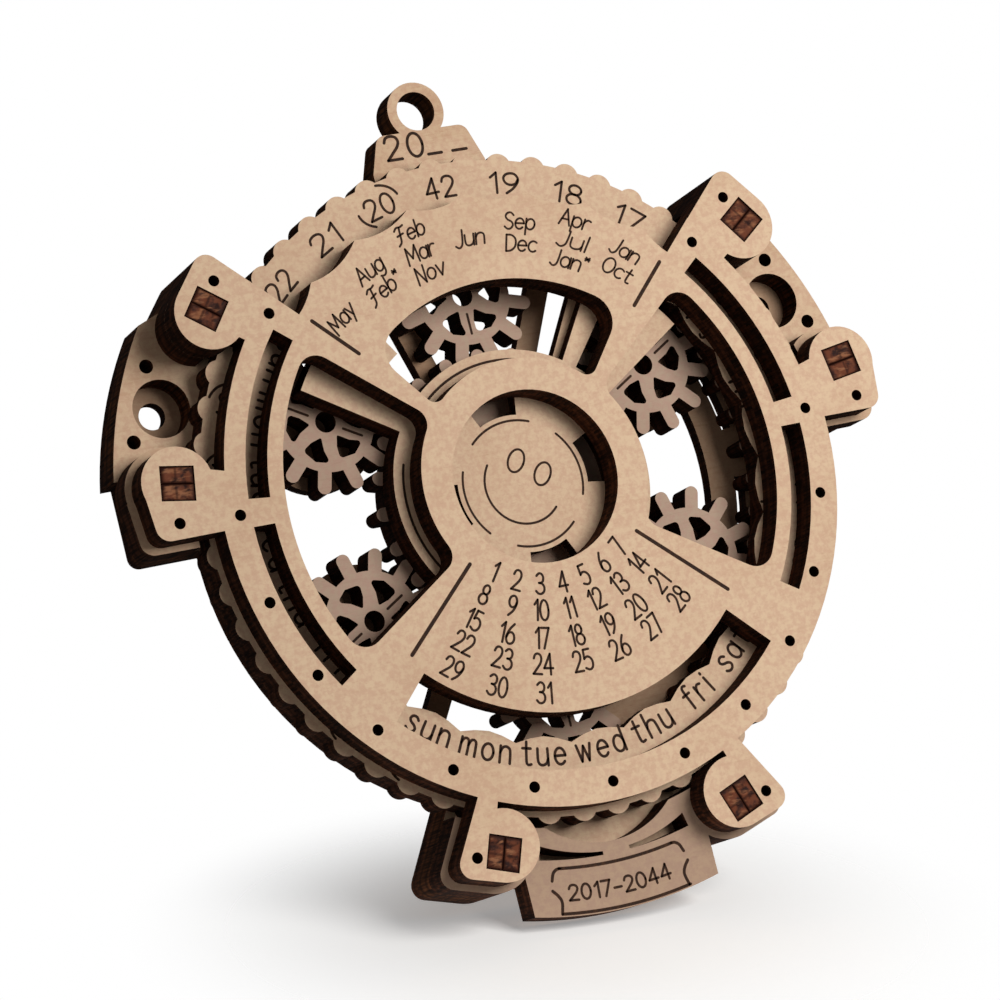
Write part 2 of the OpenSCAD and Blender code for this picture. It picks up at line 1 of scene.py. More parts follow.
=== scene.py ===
"""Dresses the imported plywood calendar: engraving, grain, burnt edges, clip ends, studio and camera."""
import logging
import math
from dataclasses import dataclass, field
from enum import Enum
from typing import Any

import bpy
import numpy as np
from mathutils import Matrix, Vector


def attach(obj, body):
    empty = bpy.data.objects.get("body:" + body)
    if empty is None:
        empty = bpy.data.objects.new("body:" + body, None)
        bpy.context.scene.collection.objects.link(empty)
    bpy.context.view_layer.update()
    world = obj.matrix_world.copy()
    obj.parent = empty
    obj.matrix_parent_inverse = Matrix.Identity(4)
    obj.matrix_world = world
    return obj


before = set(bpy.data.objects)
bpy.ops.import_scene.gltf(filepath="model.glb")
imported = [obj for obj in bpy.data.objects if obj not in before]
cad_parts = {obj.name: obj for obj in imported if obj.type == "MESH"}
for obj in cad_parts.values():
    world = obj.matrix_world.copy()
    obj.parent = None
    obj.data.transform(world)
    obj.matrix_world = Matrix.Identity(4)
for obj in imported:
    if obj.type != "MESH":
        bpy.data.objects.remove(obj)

LOG = logging.getLogger("calendar")
Array = np.ndarray
Strokes = list[np.ndarray]
Colour = tuple[float, float, float, float]

MM = 0.001
CENTRE_UP = -71.0
PLACES = 28
WEEK = 7
MONTH_STEP = 360.0 / PLACES
PIN_CIRCLE = 55.0


class Face(Enum):
    """Faces that carry engraving, by their place along Y in mm."""

    DIAL = -18.0
    BACKER = -15.0
    SPIDER = -12.0
    RING = -11.9
    GEAR = -6.1
    TAB = -6.0


class Facing(Enum):
    """Which way the tops of the letters point on a circle."""

    OUTWARD = 1.0
    INWARD = -1.0


def rgb(red: float, green: float, blue: float) -> Colour:
    """Returns a linear colour with full alpha."""
    return (red, green, blue, 1.0)


class Signal:
    """A socket that carries a value, so that shader maths reads as Python maths."""

    def __init__(self, recipe: "Recipe", socket: bpy.types.NodeSocket) -> None:
        """Keeps the socket.

        Args:
            recipe: the recipe whose node tree the socket is in.
            socket: an output socket.
        """
        self.recipe = recipe
        self.socket = socket

    def _math(self, operation: str, first: Any, second: Any) -> "Signal":
        """Adds one Math node.

        Args:
            operation: the Math node's operation.
            first: a number or a signal.
            second: a number or a signal.

        Returns:
            The result of the operation.
        """
        return self.recipe.node("ShaderNodeMath", {"operation": operation}, {0: first, 1: second})

    def __add__(self, other: Any) -> "Signal":
        """Returns self + other."""
        return self._math("ADD", self, other)

    def __sub__(self, other: Any) -> "Signal":
        """Returns self - other."""
        return self._math("SUBTRACT", self, other)

    def __rsub__(self, other: Any) -> "Signal":
        """Returns other - self."""
        return self._math("SUBTRACT", other, self)

    def __mul__(self, other: Any) -> "Signal":
        """Returns self * other."""
        return self._math("MULTIPLY", self, other)

    def __rmul__(self, other: Any) -> "Signal":
        """Returns other * self."""
        return self._math("MULTIPLY", other, self)

    def __mod__(self, other: Any) -> "Signal":
        """Returns self modulo other, never negative."""
        return self._math("FLOORED_MODULO", self, other)

    def __abs__(self) -> "Signal":
        """Returns the absolute value."""
        return self._math("ABSOLUTE", self, 0.0)

    def lesser(self, other: Any) -> "Signal":
        """Returns the smaller of self and other."""
        return self._math("MINIMUM", self, other)

    def greater(self, other: Any) -> "Signal":
        """Returns the larger of self and other."""
        return self._math("MAXIMUM", self, other)

    def step(self, low: float, high: float) -> "Signal":
        """Rises smoothly from 0 at low to 1 at high.

        Args:
            low: where the rise starts; it may be above high, for a fall.
            high: where the rise ends.

        Returns:
            A mask from 0 to 1.
        """
        return self.recipe.node(
            "ShaderNodeMapRange", {"interpolation_type": "SMOOTHSTEP"},
            {"Value": self, "From Min": low, "From Max": high, "To Min": 0.0, "To Max": 1.0})


class Recipe:
    """Node tree of one material, built from signals."""

    def __init__(self, name: str) -> None:
        """Starts an empty material.

        Args:
            name: the material's name.
        """
        self.material = bpy.data.materials.new(name)
        self.material.use_nodes = True
        self.tree = self.material.node_tree
        self.tree.nodes.clear()

    def node(self, kind: str, settings: dict[str, Any] | None = None,
             sockets: dict[Any, Any] | None = None, output: Any = 0) -> Signal:
        """Adds any node.

        Args:
            kind: the node's type.
            settings: properties that are set before the sockets.
            sockets: values or signals by socket name or number.
            output: name or number of the output that is returned.

        Returns:
            The chosen output as a signal.
        """
        made = self.tree.nodes.new(kind)
        for key, value in (settings or {}).items():
            setattr(made, key, value)
        for key, value in (sockets or {}).items():
            if isinstance(value, Signal):
                self.tree.links.new(value.socket, made.inputs[key])
            else:
                made.inputs[key].default_value = value
        return Signal(self, made.outputs[output])

    def mix(self, share: Any, first: Any, second: Any) -> Signal:
        """Mixes two colours.

        Args:
            share: how much of the second colour is taken.
            first: a colour or a signal.
            second: a colour or a signal.

        Returns:
            The mixed colour.
        """
        return self.node("ShaderNodeMix", {"data_type": "RGBA"}, {0: share, 6: first, 7: second}, 2)

    def noise(self, place: Signal, scale: float, detail: float = 2.0, rough: float = 0.5) -> Signal:
        """Adds a noise texture.

        Args:
            place: the coordinates that it reads.
            scale: its features per unit.
            detail: its number of octaves.
            rough: the weight of the finer octaves.

        Returns:
            A value about 0.5.
        """
        return self.node("ShaderNodeTexNoise", None,
                         {"Vector": place, "Scale": scale, "Detail": detail, "Roughness": rough})

    def spread(self, place: Signal, shift: tuple[float, float, float], turn: float,
               scale: tuple[float, float, float]) -> Signal:
        """Shifts, turns about Y and stretches coordinates.

        Args:
            place: the coordinates.
            shift: the shift along each axis.
            turn: the turn about Y in degrees.
            scale: the stretch along each axis.

        Returns:
            The new coordinates.
        """
        return self.node("ShaderNodeMapping", None, {
            "Vector": place, "Location": shift, "Rotation": (0.0, math.radians(turn), 0.0),
            "Scale": scale})

    def millimetres(self) -> Signal:
        """Returns Object coordinates in mm."""
        place = self.node("ShaderNodeTexCoord", None, None, "Object")
        return self.node("ShaderNodeVectorMath", {"operation": "SCALE"},
                         {0: place, "Scale": 1.0 / MM})

    def part(self, vector: Signal, axis: str) -> Signal:
        """Returns one of a vector's X, Y and Z."""
        return self.node("ShaderNodeSeparateXYZ", None, {0: vector}, axis)

    def surface(self, sockets: dict[Any, Any], height: Any = None, depth: float = 0.0) -> None:
        """Closes the recipe with the main shader.

        Args:
            sockets: values or signals for the shader.
            height: a signal from 0 to 1 that the surface is raised by, if any.
            depth: how far the full height stands, in mm.
        """
        values = dict(sockets)
        if height is not None:
            values["Normal"] = self.node("ShaderNodeBump", None, {
                "Strength": 1.0, "Distance": depth * MM, "Height": height})
        shader = self.node("ShaderNodeBsdfPrincipled", None, values)
        self.node_output(shader)

    def node_output(self, shader: Signal) -> None:
        """Links a shader to the material's surface."""
        out = self.tree.nodes.new("ShaderNodeOutputMaterial")
        self.tree.links.new(shader.socket, out.inputs["Surface"])


@dataclass(frozen=True)
class Plywood:
    """Bare laser-cut plywood: pale speckled faces, burnt walls with ply lines."""

    name: str
    straw: Colour = rgb(0.775, 0.565, 0.380)
    rosy: Colour = rgb(0.700, 0.465, 0.320)
    shade: Colour = rgb(0.520, 0.315, 0.190)
    char: Colour = rgb(0.012, 0.005, 0.003)
    brown: Colour = rgb(0.110, 0.037, 0.017)
    grain_turn: float = 0.0
    seed: float = 0.0
    # How far the whole face is pulled toward its shade colour; on the back plate this is painted shade.
    soot: float = 0.0
    sheet: float = 3.0
    speck_scale: float = 0.95
    cloud_scale: float = 0.045
    relief: float = 0.035

    def material(self) -> bpy.types.Material:
        """Makes the material.

        A face is where the normal points along Y. There, two tints change over in specks of about
        1 mm, and long thin fibres and broad clouds darken it. Every other surface is a burnt wall: char
        and brown in stripes along Y, with the middle ply of each 3 mm sheet darker.

        Returns:
            The material.
        """
        r = Recipe(self.name)
        place = r.millimetres()
        shift = (17.0 * self.seed, 5.0 * self.seed, 29.0 * self.seed)
        moved = r.spread(place, shift, self.grain_turn, (1.0, 1.0, 1.0))
        specks = r.noise(moved, self.speck_scale, 3.0, 0.65)
        clouds = r.noise(moved, self.cloud_scale, 2.0, 0.5)
        fibres = r.noise(r.spread(place, shift, self.grain_turn, (0.11, 0.4, 2.1)), 1.0, 4.0, 0.62)
        pores = r.noise(r.spread(place, shift, self.grain_turn, (0.45, 0.5, 6.5)), 1.0, 2.0, 0.5)
        normal = r.node("ShaderNodeTexCoord", None, None, "Normal")
        face = abs(r.part(normal, "Y")).step(0.80, 0.95)

        tint = r.mix(specks.step(0.36, 0.64), self.straw, self.rosy)
        open_pores = pores.step(0.60, 0.72)
        dark = fibres.step(0.50, 0.74) * 0.16 + open_pores * 0.20 + clouds.step(0.48, 0.72) * 0.20
        # A set pull toward the shade colour; on the back plate it is painted shade.
        tint = r.mix((dark + self.soot).lesser(1.0), tint, self.shade)

        deep = r.part(place, "Y") % self.sheet
        core = deep.step(0.85, 1.1) * deep.step(2.15, 1.9)
        stripes = r.noise(r.spread(place, shift, 0.0, (2.6, 0.10, 2.6)), 1.0, 2.0, 0.6)
        scorch = r.noise(moved, 0.16, 2.0, 0.5)
        light = (stripes.step(0.34, 0.72) * 0.75 + scorch.step(0.45, 0.70) * 0.45) * (1.0 - 0.55 * core)
        wall = r.mix(light.lesser(1.0), self.char, self.brown)

        grain = specks * 0.35 + fibres * 0.35 - open_pores * 0.3
        raised = face * grain + (1.0 - face) * stripes
        r.surface({
            "Base Color": r.mix(face, wall, tint),
            "Roughness": 0.86 - face * 0.22 + specks * 0.12,
            "Specular IOR Level": 0.10,
        }, raised, self.relief)
        return r.material


@dataclass(frozen=True)
class Burn:
    """Engraved line: charred along its middle, browner at its edges."""

    name: str
    middle: Colour = rgb(0.024, 0.010, 0.005)
    edge: Colour = rgb(0.105, 0.045, 0.020)

    def material(self) -> bpy.types.Material:
        """Makes the material; V of the ribbon's map runs across the line.

        Returns:
            The material.
        """
        r = Recipe(self.name)
        across = abs(r.part(r.node("ShaderNodeTexCoord", None, None, "UV"), "Y") - 0.5) * 2.0
        patches = r.noise(r.millimetres(), 1.1, 2.0, 0.6)
        share = (across.step(0.45, 1.0) * 0.8 + patches.step(0.45, 0.75) * 0.45).lesser(1.0)
        r.surface({
            "Base Color": r.mix(share, self.middle, self.edge),
            "Roughness": patches * 0.2 + 0.62,
            "Specular IOR Level": 0.2,
        }, patches, 0.02)
        return r.material


@dataclass(frozen=True)
class ClipWood:
    """Burnt, waxed wood of the clips, in dark and warm patches with lighter streaks."""

    name: str
    mapped: bool = False
    dark: Colour = rgb(0.022, 0.005, 0.003)
    warm: Colour = rgb(0.150, 0.042, 0.018)
    bright: Colour = rgb(0.330, 0.135, 0.062)

    def material(self) -> bpy.types.Material:
        """Makes the material from noise in Object coordinates; a mapped end is dark at its edges.

        Returns:
            The material.
        """
        r = Recipe(self.name)
        place = r.millimetres()
        patches = r.noise(place, 0.55, 3.0, 0.6)
        streaks = r.noise(r.spread(place, (3.0, 0.0, 8.0), 35.0, (0.35, 0.3, 1.1)), 1.0, 3.0, 0.6)
        tint = r.mix(patches.step(0.36, 0.60), self.dark, self.warm)
        tint = r.mix(streaks.step(0.50, 0.68) * 0.8, tint, self.bright)
        if self.mapped:
            map_uv = r.node("ShaderNodeTexCoord", None, None, "UV")
            along, across = r.part(map_uv, "X"), r.part(map_uv, "Y")
            edge = abs(along).greater(abs(across)).step(0.66, 0.97)
            tint = r.mix(edge.greater(abs(along - 0.1).step(0.11, 0.03) * 0.6), tint, self.dark)
        r.surface({
            "Base Color": tint,
            "Roughness": patches * 0.2 + 0.5,
            "Specular IOR Level": 0.1,
        }, streaks, 0.05)
        return r.material


@dataclass(frozen=True)
class Floor:
    """Pale studio floor that shows white and keeps the part's soft shadow."""

    name: str
    colour: Colour = rgb(0.97, 0.965, 0.96)
    glow: float = 0.26

    def material(self) -> bpy.types.Material:
        """Makes the material: matt floor and a little white glow, clear from below and fading at its rim.

        Returns:
            The material.
        """
        r = Recipe(self.name)
        grain = r.noise(r.millimetres(), 0.05, 2.0, 0.5)
        matt = r.node("ShaderNodeBsdfDiffuse", None, {
            "Color": r.mix(grain.step(0.3, 0.7) * 0.04, self.colour, rgb(0.92, 0.91, 0.90))})
        white = r.node("ShaderNodeEmission", None, {"Color": rgb(1.0, 1.0, 1.0), "Strength": self.glow})
        top = r.node("ShaderNodeAddShader", None, {0: matt, 1: white})
        reach = r.node("ShaderNodeVectorMath", {"operation": "LENGTH"},
                       {0: r.node("ShaderNodeTexCoord", None, None, "UV")}, "Value")
        under = r.node("ShaderNodeNewGeometry", None, None, "Backfacing")
        clear = r.node("ShaderNodeBsdfTransparent")
        r.node_output(r.node("ShaderNodeMixShader", None, {
            0: under.greater(reach.step(0.25, 0.95)), 1: top, 2: clear}))
        return r.material


def arc(cx: float, cy: float, rx: float, ry: float, start: float = 0.0, end: float = 360.0) -> Strokes:
    """Draws part of an oval: the centre plus (rx cos t, ry sin t).

    Args:
        cx: centre along the line of text.
        cy: centre above the base line.
        rx: half width.
        ry: half height.
        start: first angle in degrees.
        end: last angle in degrees.

    Returns:
        One stroke.
    """
    t = np.radians(np.linspace(start, end, 30))
    return [np.stack([cx + rx * np.cos(t), cy + ry * np.sin(t)], 1)]


def bars(*points: tuple[float, float]) -> Strokes:
    """Draws straight bars between points, each a stroke with its own round ends.

    Args:
        points: the corners in order.

    Returns:
        One stroke for each bar.
    """
    p = np.array(points)
    return list(np.stack([p[:-1], p[1:]], 1))


def curve(*points: tuple[float, float]) -> Strokes:
    """Draws a smooth curve through points: a cubic on each span from its four nearest points.

    Args:
        points: the points in order.

    Returns:
        One stroke.
    """
    p = np.array(points)
    p = np.vstack([2 * p[0] - p[1], p, 2 * p[-1] - p[-2]])
    t = np.linspace(0.0, 1.0, 9)[:-1][None, :, None]
    a, b, c, d = p[:-3, None], p[1:-2, None], p[2:-1, None], p[3:, None]
    spans = b + 0.5 * t * (c - a + t * (2 * a - 5 * b + 4 * c - d + t * (3 * (b - c) + d - a)))
    return [np.vstack([spans.reshape(-1, 2), p[-2:-1]])]


SIX = ((.46, 1), (.22, .76), (.06, .46), (.03, .24), (.14, .04), (.30, 0), (.48, .08), (.56, .28),
       (.48, .50), (.30, .58), (.12, .50), (.04, .30))

GLYPHS: dict[str, Strokes] = {
    "0": arc(.28, .5, .28, .5),
    "1": bars((.06, .76), (.28, 1), (.28, 0)),
    "2": curve((.02, .76), (.1, .94), (.28, 1), (.47, .93), (.54, .74), (.46, .52), (.25, .27), (.02, 0))
    + bars((.02, 0), (.56, 0)),
    "3": curve((.04, .88), (.2, 1), (.38, .99), (.51, .86), (.5, .66), (.38, .55), (.22, .53))
    + curve((.22, .53), (.42, .5), (.55, .34), (.53, .14), (.38, .01), (.18, 0), (.02, .12)),
    "4": bars((.42, 0), (.42, 1), (0, .3), (.58, .3)),
    "5": bars((.5, 1), (.1, 1), (.05, .56))
    + curve((.05, .56), (.2, .64), (.38, .62), (.53, .47), (.55, .27), (.45, .07), (.25, 0), (.03, .1)),
    "6": curve(*SIX),
    "7": bars((0, 1), (.54, 1), (.18, 0)),
    "8": arc(.28, .76, .22, .24) + arc(.28, .27, .27, .27),
    "9": curve(*((.59 - x, 1 - y) for x, y in SIX)),
    "A": bars((0, 0), (.3, 1), (.6, 0)) + bars((.12, .36), (.48, .36)),
    "D": bars((.02, 1), (.02, 0))
    + curve((.02, 1), (.3, .97), (.52, .78), (.58, .5), (.52, .22), (.3, .03), (.02, 0)),
    "F": curve((.02, .86), (.2, 1), (.42, .95), (.62, 1)) + curve((.36, .96), (.3, .5), (.22, .1), (0, -.06))
    + bars((.1, .5), (.5, .54)),
    "J": curve((.46, 1), (.44, .5), (.38, .12), (.2, -.04), (.02, .1)),
    "M": bars((0, 0), (.1, 1), (.36, .3), (.66, 1), (.72, 0)),
    "N": bars((0, 0), (.06, 1), (.5, 0), (.56, 1)),
    "O": arc(.32, .5, .32, .5),
    "S": curve((.5, .84), (.34, 1), (.14, .96), (.05, .76), (.18, .56), (.4, .44), (.5, .24), (.38, .03),
               (.18, 0), (.02, .14)),
    "a": arc(.25, .33, .25, .33) + bars((.5, .66), (.5, 0)),
    "b": bars((0, 1), (0, 0)) + arc(.25, .33, .25, .33),
    "c": arc(.27, .33, .27, .33, 50, 310),
    "d": arc(.25, .33, .25, .33) + bars((.5, 1), (.5, 0)),
    "e": bars((.02, .35), (.5, .35)) + arc(.26, .33, .25, .33, 3, 318),
    "f": curve((.42, .96), (.3, 1), (.2, .92), (.18, .7), (.18, .4), (.18, 0)) + bars((.02, .64), (.38, .64)),
    "g": arc(.25, .33, .25, .33) + curve((.5, .66), (.5, .3), (.48, -.14), (.3, -.32), (.06, -.24)),
    "h": bars((0, 1), (0, 0)) + curve((0, .4), (.1, .6), (.28, .66), (.44, .58), (.48, .4), (.48, 0)),
    "i": bars((.04, .66), (.04, 0)) + bars((.04, .86), (.04, .9)),
    "l": bars((.04, 1), (.04, 0)),
    "m": bars((0, .66), (0, 0)) + curve((0, .42), (.08, .6), (.2, .66), (.32, .6), (.35, .42), (.35, 0))
    + curve((.35, .42), (.43, .6), (.55, .66), (.67, .6), (.7, .42), (.7, 0)),
    "n": bars((0, .66), (0, 0)) + curve((0, .4), (.1, .6), (.27, .66), (.43, .58), (.47, .4), (.47, 0)),
    "o": arc(.26, .33, .26, .33),
    "p": bars((0, .66), (0, -.32)) + arc(.25, .33, .25, .33),
    "r": bars((0, .66), (0, 0)) + curve((0, .4), (.08, .57), (.2, .66), (.34, .62)),
    "s": curve((.42, .56), (.3, .66), (.12, .64), (.04, .5), (.14, .38), (.32, .3), (.42, .16), (.32, .02),
               (.14, 0), (0, .1)),
    "t": curve((.18, .92), (.18, .4), (.2, .08), (.28, 0), (.4, .03)) + bars((0, .66), (.38, .66)),
    "u": curve((0, .66), (0, .24), (.06, .06), (.22, 0), (.4, .08), (.48, .26)) + bars((.48, .66), (.48, 0)),
    "v": bars((0, .66), (.24, 0), (.48, .66)),
    "w": bars((0, .66), (.17, 0), (.34, .6), (.51, 0), (.68, .66)),
    "y": bars((0, .66), (.24, .05)) + bars((.48, .66), (.08, -.32)),
    "*": bars((.02, .8), (.2, 1)) + bars((.02, 1), (.2, .8)) + bars((0, .9), (.22, .9)),
    "-": bars((.02, .42), (.46, .42)),
    "_": bars((0, 0), (.46, 0)),
}


@dataclass(frozen=True)
class Hand:
    """A plain stroke lettering, with its sizes in mm."""

    height: float
    width: float
    gap: float
    line: float
    slant: float = 0.0

    def write(self, text: str, fit: float = 0.0) -> Strokes:
        """Sets a word in a row, centred on the middle of its height and width.

        Args:
            text: the word.
            fit: the width that it is stretched to, or 0 to leave it.

        Returns:
            The word's strokes.
        """
        strokes: Strokes = []
        along = 0.0
        for letter in text:
            reach = max(s[:, 0].max() for s in GLYPHS[letter])
            scale = np.array([self.width, self.height])
            strokes += [s * scale + np.array([along, 0.0]) for s in GLYPHS[letter]]
            along += reach * self.width + self.gap
        total = along - self.gap
        stretch = fit / total if fit else 1.0
        lean = math.tan(math.radians(self.slant))
        return [np.stack([(s[:, 0] - total / 2) * stretch + lean * (s[:, 1] - self.height / 2),
                          s[:, 1] - self.height / 2], 1) for s in strokes]


def round_dial(strokes: Strokes, radius: float, angle: float, facing: Facing) -> Strokes:
    """Bends strokes round the dial: x runs along the circle, y along the radius.

    Args:
        strokes: strokes about their own middle, in mm.
        radius: where their middle lies from the dial's centre.
        angle: its direction in degrees.
        facing: which way the tops point.

    Returns:
        Strokes in dial coordinates.
    """
    placed = []
    for s in strokes:
        turn = math.radians(angle) - facing.value * s[:, 0] / radius
        reach = radius + facing.value * s[:, 1]
        placed.append(np.stack([reach * np.cos(turn), reach * np.sin(turn)], 1))
    return placed


def beside(strokes: Strokes, x: float, up: float, turn: float = 0.0) -> Strokes:
    """Turns strokes and moves them to a place on the dial.

    Args:
        strokes: strokes about their own middle, in mm.
        x: place to the right of the dial's centre.
        up: place above it.
        turn: turn in degrees.

    Returns:
        Strokes in dial coordinates.
    """
    a = math.radians(turn)
    spin = np.array([[math.cos(a), math.sin(a)], [-math.sin(a), math.cos(a)]])
    return [s @ spin + np.array([x, up]) for s in strokes]


def polar(radius: float, angle: float) -> tuple[float, float]:
    """Returns a point of the dial from its radius and direction."""
    return radius * math.cos(math.radians(angle)), radius * math.sin(math.radians(angle))


class Grids:
    """Gathers point grids into one mesh piece."""

    def __init__(self) -> None:
        """Starts with no grid."""
        self.points: list[Array] = []
        self.faces: list[Array] = []
        self.maps: list[Array] = []
        self.count = 0

    def add(self, points: Array, uv: Array) -> None:
        """Adds a grid of rows by columns, as quads.

        Args:
            points: rows x columns x 3, in mm, with rows x columns turning left seen from outside.
            uv: rows x columns x 2.
        """
        rows, columns = points.shape[:2]
        index = np.arange(rows * columns).reshape(rows, columns) + self.count
        quads = np.stack([index[:-1, :-1], index[1:, :-1], index[1:, 1:], index[:-1, 1:]], -1)
        self.points.append(points.reshape(-1, 3))
        self.faces.append(quads.reshape(-1, 4))
        self.maps.append(uv.reshape(-1, 2))
        self.count += rows * columns

    def piece(self, name: str, material: bpy.types.Material, smooth: bool = False) -> bpy.types.Object:
        """Makes the mesh object.

        Args:
            name: the piece's name.
            material: its finish.
            smooth: whether it is shaded smooth.

        Returns:
            The object, at the origin.
        """
        mesh = bpy.data.meshes.new(name)
        faces = np.concatenate(self.faces)
        mesh.from_pydata((np.concatenate(self.points) * MM).tolist(), [], faces.tolist())
        layer = mesh.uv_layers.new(name="UVMap")
        layer.data.foreach_set("uv", np.concatenate(self.maps)[faces.ravel()].ravel())
        mesh.polygons.foreach_set("use_smooth", np.full(len(faces), smooth))
        mesh.materials.append(material)
        mesh.update()
        made = bpy.data.objects.new(name, mesh)
        bpy.context.scene.collection.objects.link(made)
        return made


@dataclass
class Engraving:
    """Burnt lines on one face of one body."""

    name: str
    face: Face
    body: str
    lift: float = 0.03
    sink: float = 0.004
    step: float = 0.3
    look: float = 0.04
    shoulder: float = 0.72
    grids: Grids = field(default_factory=Grids)

    def draw(self, strokes: Strokes, line: float) -> None:
        """Adds each stroke as a ribbon with round ends.

        A station runs along the stroke and half a line past both ends. Its half width is that of a
        circle about the stroke's end, and across it the ribbon rises from the face to its lift.

        Args:
            strokes: strokes in dial coordinates, in mm.
            line: the width of the line.
        """
        half = line / 2
        cap = half * (1.0 - np.cos(np.linspace(0.0, math.pi / 2, 6)))[:-1]
        across = np.array([-1.0, -self.shoulder, self.shoulder, 1.0])
        rise = np.array([0.0, 1.0, 1.0, 0.0])
        for s in strokes:
            run = np.concatenate([[0.0], np.cumsum(np.linalg.norm(np.diff(s, axis=0), axis=1))])
            length = run[-1]
            middle = np.linspace(0.0, length, max(2, int(length / self.step) + 2))
            t = np.concatenate([cap - half, middle, (length + half - cap)[::-1]])
            held = np.clip(t, 0.0, length)
            at = np.stack([np.interp(held, run, s[:, 0]), np.interp(held, run, s[:, 1])], 1)
            ahead = np.clip(held + self.look, 0.0, length)
            behind = np.clip(held - self.look, 0.0, length)
            way = np.stack([np.interp(ahead, run, s[:, i]) - np.interp(behind, run, s[:, i])
                            for i in (0, 1)], 1)
            way /= np.linalg.norm(way, axis=1, keepdims=True)
            at = at + way * (t - held)[:, None]
            left = np.stack([-way[:, 1], way[:, 0]], 1)
            wide = np.sqrt(np.clip(half ** 2 - (t - held) ** 2, 0.0, None))
            flat = at[:, None] + left[:, None] * (wide[:, None] * across)[..., None]
            y = np.broadcast_to(self.face.value + self.sink - self.lift * rise, flat.shape[:2])
            points = np.stack([flat[..., 0], y, flat[..., 1] + CENTRE_UP], -1)
            uv = np.stack(np.broadcast_arrays(t[:, None], (across + 1.0) / 2), -1)
            self.grids.add(points, uv)

    def finish(self, material: bpy.types.Material) -> None:
        """Makes the piece and ties it to its body.

        Args:
            material: the burnt finish.
        """
        made = self.grids.piece(self.name, material)
        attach(made, self.body)
        LOG.info("%s on %s: %d points", self.name, self.body, self.grids.count)


@dataclass
class Dial:
    """Months, days and limit lines on the front plate, and painted shade in its pin holes: a dark cup on each
    hole's floor.
    """

    month_hand: Hand = Hand(height=3.0, width=3.4, gap=0.42, line=0.42, slant=9.0)
    day_hand: Hand = Hand(height=3.6, width=2.75, gap=0.45, line=0.48)
    month_turn: float = 1.5
    month_columns: tuple[tuple[int, tuple[str, ...]], ...] = (
        (3, ("May",)), (2, ("Aug", "Feb*")), (1, ("Feb", "Mar", "Nov")), (0, ("Jun",)),
        (-1, ("Sep", "Dec")), (-2, ("Apr", "Jul", "Jan*")), (-3, ("Jan", "Oct")))
    month_rows: tuple[tuple[float, ...], ...] = ((.800,), (.842, .768), (.878, .805, .735))
    day_rows: tuple[float, ...] = (.350, .435, .525, .608, .700)
    month_width: float = 5.8
    marked_width: float = 7.0
    limit_line: float = 0.75
    limit_angles: tuple[float, ...] = (45.0, 135.0)
    limit_reach: tuple[float, float] = (.69, .87)
    day_limit: tuple[tuple[float, float], ...] = ((.295, -.237), (.558, -.480))
    pin_r: float = 1.0
    pin_play: float = 0.01
    pin_lift: float = 0.03
    pin_angles: tuple[float, ...] = (0.0, 15.4, 31.1, 46.7, 61.2, 76.6, 93.0, 131.5)

    def months(self) -> Engraving:
        """Draws the months and the lines at both ends of their sector.

        Returns:
            The engraving.
        """
        made = Engraving("month_lettering", Face.DIAL, "frame")
        for column, names in self.month_columns:
            for name, reach in zip(names, self.month_rows[len(names) - 1]):
                word = self.month_hand.write(name, self.marked_width if "*" in name else self.month_width)
                angle = 90.0 + MONTH_STEP * column + self.month_turn
                made.draw(round_dial(word, reach * PIN_CIRCLE, angle, Facing.OUTWARD), self.month_hand.line)
        for angle in self.limit_angles:
            made.draw(bars(*(polar(reach * PIN_CIRCLE, angle) for reach in self.limit_reach)),
                      self.limit_line)
        return made

    def days(self) -> Engraving:
        """Draws the days in seven columns and the lines beside them.

        Returns:
            The engraving.
        """
        made = Engraving("day_lettering", Face.DIAL, "frame")
        for day in range(1, 32):
            row, column = divmod(day - 1, WEEK)
            made.draw(round_dial(self.day_hand.write(str(day)), self.day_rows[row] * PIN_CIRCLE,
                                 -90.0 + MONTH_STEP * (column - 3), Facing.INWARD), self.day_hand.line)
        for side in (-1.0, 1.0):
            made.draw(bars(*((side * x * PIN_CIRCLE, up * PIN_CIRCLE) for x, up in self.day_limit)),
                      self.limit_line)
        return made

    def pin_places(self) -> Array:
        """Returns the pin holes' places in dial coordinates, in mm."""
        angles = np.array(self.pin_angles)
        turns = np.radians(np.concatenate([angles - 90.0, -90.0 - angles[1:]]))
        return PIN_CIRCLE * np.stack([np.cos(turns), np.sin(turns)], 1)

    def pin_floors(self, places: Array) -> Grids:
        """Makes a shallow dark cup of painted shade for each pin hole: radius times (cos t, sin t), sunk in
        the middle.

        Args:
            places: the holes' places in dial coordinates.

        Returns:
            The cups as grids.
        """
        grids = Grids()
        turn = np.linspace(0.0, 2.0 * math.pi, 21)
        reach = np.array([0.02, 0.5, 0.9, 1.0])
        sunk = np.array([0.0, 0.0, 0.02, 0.12])
        t, q = np.meshgrid(turn, reach * (self.pin_r - self.pin_play), indexing="ij")
        y = np.broadcast_to(Face.BACKER.value - self.pin_lift - sunk, t.shape)
        uv = np.stack(np.broadcast_arrays(t, 0.5 * np.ones_like(q)), -1)
        for x, up in places:
            ring = np.stack([x + q * np.cos(t), y, up + CENTRE_UP + q * np.sin(t)], -1)
            grids.add(ring[::-1], uv[::-1])
        return grids

    def dress(self, burn: bpy.types.Material, places: Array) -> None:
        """Builds the dial's pieces.

        Args:
            burn: the engraving's finish.
            places: the ears' own pin holes, beyond those on the circle.
        """
        self.months().finish(burn)
        self.days().finish(burn)
        # Dark cups on the pin holes' floors, in the engraving's burnt finish: painted shade inside the holes.
        floors = self.pin_floors(np.vstack([self.pin_places(), places])).piece("pin_floors", burn)
        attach(floors, "frame")
        LOG.info("pin_floors on frame")


